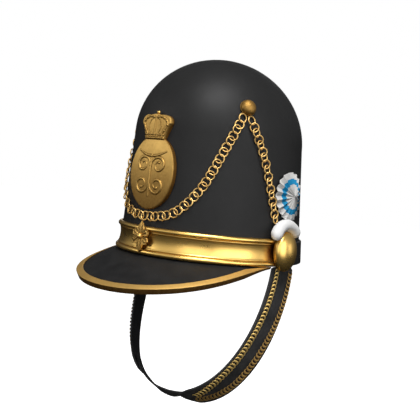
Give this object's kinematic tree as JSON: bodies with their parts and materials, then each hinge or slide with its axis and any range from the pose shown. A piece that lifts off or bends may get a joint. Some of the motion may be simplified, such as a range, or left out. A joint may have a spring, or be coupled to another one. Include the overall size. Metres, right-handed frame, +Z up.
{
  "type": "parade shako helmet",
  "caption": "Domed black felt shako with a peaked visor, brass band, crowned oval front plate, hung ring chains, side cockade and a chain-edged chin strap.",
  "frame": {"origin": "Middle of the head opening, level with the crown's rim.", "axes": "+Z up through the crown, -Y to the front, +X to the wearer's left."},
  "size_m": [0.206, 0.2616, 0.3493],
  "materials": {
    "felt": "stiffened black wool felt",
    "leather": "matt black leather",
    "brass": "bright polished brass",
    "antique_brass": "cast and darkened brass",
    "chain_brass": "worn brass wire",
    "ribbon": "pleated white ribbon with a blue ring",
    "white_cloth": "padded white cloth"
  },
  "bodies": {
    "root": {"crown_shell": "felt", "front_band": "brass", "back_band": "leather", "visor": "leather", "visor_trim": "brass", "front_plate": "antique_brass", "band_flower": "antique_brass", "chain_front": "chain_brass", "cockade": "ribbon", "white_roll": "white_cloth", "chin_strap": "leather", "chain_button_left": "antique_brass", "chain_button_right": "antique_brass", "chain_side_left": "chain_brass", "chain_side_right": "chain_brass", "strap_boss_left": "brass", "strap_boss_right": "brass", "lappet_left": "leather", "lappet_right": "leather", "lappet_chain_left": "chain_brass", "lappet_chain_right": "chain_brass"}
  },
  "joints": []
}
